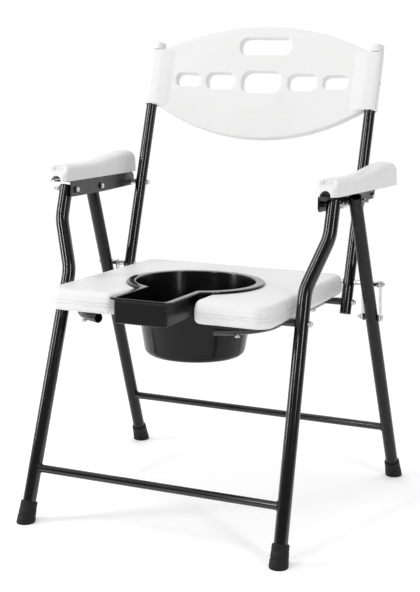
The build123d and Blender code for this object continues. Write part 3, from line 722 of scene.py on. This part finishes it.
# ---------------------------------------------------------------- weld beads
def weld_bead(name, centre, axis, inwards, bead=1.5, segments=72, around=10):
    """The ring of weld metal where a cross bar along X meets a leg, with small ripples in it."""
    up_way = Vector(axis).normalized()
    across = Vector((0, up_way.z, -up_way.y)).normalized()
    points = []
    for k in range(segments):
        angle = 2 * pi * k / segments
        spoke = Vector((0, cos(angle), sin(angle)))
        offset = spoke.dot(across) * BAR_R
        leg_face = sqrt(LEG_R**2 - offset**2) - (spoke * BAR_R).dot(up_way) * up_way.x
        middle = Vector(centre) + spoke * (BAR_R + 0.3) + Vector((inwards * (leg_face + 0.3), 0, 0))
        ripple = bead * (1 + 0.10 * sin(angle * 17) + 0.06 * sin(angle * 5 + 1))
        for j in range(around):
            turn = 2 * pi * j / around
            points.append(middle + (spoke * cos(turn) + Vector((inwards, 0, 0)) * sin(turn)) * ripple)
    return new_object(name, points, ring_faces(segments, around, closed=True))


for end, (foot_x, foot_y), axis, bar_z in LEGS:
    for side_name, side in SIDES:
        centre = (side * (foot_x + axis[0] * bar_z), foot_y + axis[1] * bar_z, bar_z)
        leg_axis = (side * axis[0], axis[1], axis[2])
        bead = weld_bead(f"{end}_weld_{side_name}", centre, leg_axis, -side)
        place_piece(bead, GLOSS_PAINT, f"{end}_frame", "black_paint")

# ---------------------------------------------------------------- floor
FLOOR_REACH = 1.3
FLOOR_GLOW = 0.17
floor_mesh = bpy.data.meshes.new("floor")
floor_corners = [(FLOOR_REACH * x, FLOOR_REACH * y, 0) for x, y in ((-1, -1), (1, -1), (1, 1), (-1, 1))]
floor_mesh.from_pydata(floor_corners, [], [(0, 1, 2, 3)])
floor = bpy.data.objects.new("floor", floor_mesh)
bpy.context.scene.collection.objects.link(floor)
floor_finish = finish_material(
    "pale_floor", grey(0.93), grey(0.95), (0.9, 1.0), specular=0.05,
    mottle=2.0, grain=200.0, grain_depth=0.00001,
)
floor_shader = next(n for n in floor_finish.node_tree.nodes if n.type == "BSDF_PRINCIPLED")
floor_shader.inputs["Emission Color"].default_value = (1, 1, 1, 1)
floor_shader.inputs["Emission Strength"].default_value = FLOOR_GLOW
floor_mesh.materials.append(floor_finish)

# ---------------------------------------------------------------- lights and camera
world = bpy.data.worlds.new("studio")
bpy.context.scene.world = world
world.use_nodes = True
tree = world.node_tree
tree.nodes.clear()


def world_math(operation, first, second):
    """A sum, product or the like of two values, each a number or an output of another node."""
    node = tree.nodes.new("ShaderNodeMath")
    node.operation = operation
    for socket, value in zip(node.inputs, (first, second)):
        if isinstance(value, bpy.types.NodeSocket):
            tree.links.new(value, socket)
        else:
            socket.default_value = value
    return node.outputs[0]


# The room is bright behind the chair, above it and below it, and dim in front. The camera sees white.
ROOM_DIM, ROOM_BRIGHT, BACKGROUND = 0.17, 1.05, 1.03
TO_BACKDROP = (-0.37, 0.93, 0)
direction = tree.nodes.new("ShaderNodeTexCoord").outputs["Generated"]
to_back = tree.nodes.new("ShaderNodeVectorMath")
to_back.operation = "DOT_PRODUCT"
tree.links.new(direction, to_back.inputs[0])
to_back.inputs[1].default_value = TO_BACKDROP
heights = tree.nodes.new("ShaderNodeSeparateXYZ")
tree.links.new(direction, heights.inputs[0])
behind = spread(tree, to_back.outputs["Value"], -0.1, 0.5, 0.0, 1.0)
above = spread(tree, heights.outputs["Z"], 0.6, 0.95, 0.0, 1.0)
below = spread(tree, heights.outputs["Z"], -0.02, -0.2, 0.0, 0.9)
bright = world_math("MAXIMUM", world_math("MAXIMUM", behind, above), below)
room = world_math("ADD", world_math("MULTIPLY", bright, ROOM_BRIGHT - ROOM_DIM), ROOM_DIM)
seen = tree.nodes.new("ShaderNodeLightPath").outputs["Is Camera Ray"]
brighter = world_math("MULTIPLY", world_math("SUBTRACT", BACKGROUND, room), seen)
strength = world_math("ADD", brighter, room)
sky = tree.nodes.new("ShaderNodeBackground")
tree.links.new(strength, sky.inputs["Strength"])
tree.links.new(sky.outputs[0], tree.nodes.new("ShaderNodeOutputWorld").inputs[0])
sky.inputs["Color"].default_value = (1, 1, 1, 1)


LAMP_AIM = Vector((0, 0, 0.45))


def lamp(name, azimuth, elevation, distance, width, height, power):
    """A soft rectangular lamp that faces the chair's middle; sizes are in metres, angles in degrees."""
    light = bpy.data.lights.new(name, "AREA")
    light.shape = "RECTANGLE"
    light.size, light.size_y = width, height
    light.energy = power
    obj = bpy.data.objects.new(name, light)
    bpy.context.scene.collection.objects.link(obj)
    a, e = radians(azimuth), radians(elevation)
    obj.location = LAMP_AIM + Vector((sin(a) * cos(e), -cos(a) * cos(e), sin(e))) * distance
    obj.rotation_euler = (LAMP_AIM - obj.location).to_track_quat("-Z", "Y").to_euler()


lamp("strip_left", -58, 20, 2.6, 0.34, 1.8, 31)
lamp("strip_front", -14, 26, 2.8, 0.20, 1.2, 13)
lamp("strip_right", 57, 22, 2.8, 0.22, 1.4, 14)
lamp("top_soft", -20, 74, 2.6, 1.5, 1.5, 9)

CAMERA_AT = (0.9209, -2.1206, 0.8224)
AZIMUTH, ELEVATION, ROLL = radians(22.06), radians(9.93), radians(1.20)
# The lens is in millimetres on a 36 mm sensor, and the shifts are shares of the picture's long side.
SENSOR, LENS = 36, 73.6236
SHIFT_X, SHIFT_Y = -0.052956, -0.0078716
camera_data = bpy.data.cameras.new("camera")
camera_data.sensor_width = SENSOR
camera_data.lens = LENS
camera_data.shift_x = SHIFT_X
camera_data.shift_y = SHIFT_Y
camera_data.clip_end = 50
camera = bpy.data.objects.new("camera", camera_data)
bpy.context.scene.collection.objects.link(camera)
look = Vector((-sin(AZIMUTH) * cos(ELEVATION), cos(AZIMUTH) * cos(ELEVATION), -sin(ELEVATION)))
level = Vector((cos(AZIMUTH), sin(AZIMUTH), 0))
rise = level.cross(look)
image_right = level * cos(ROLL) + rise * sin(ROLL)
image_up = rise * cos(ROLL) - level * sin(ROLL)
turned = Matrix((image_right, image_up, -look)).transposed().to_4x4()
camera.matrix_world = Matrix.Translation(CAMERA_AT) @ turned
bpy.context.scene.camera = camera
bpy.context.scene.view_settings.view_transform = "Standard"
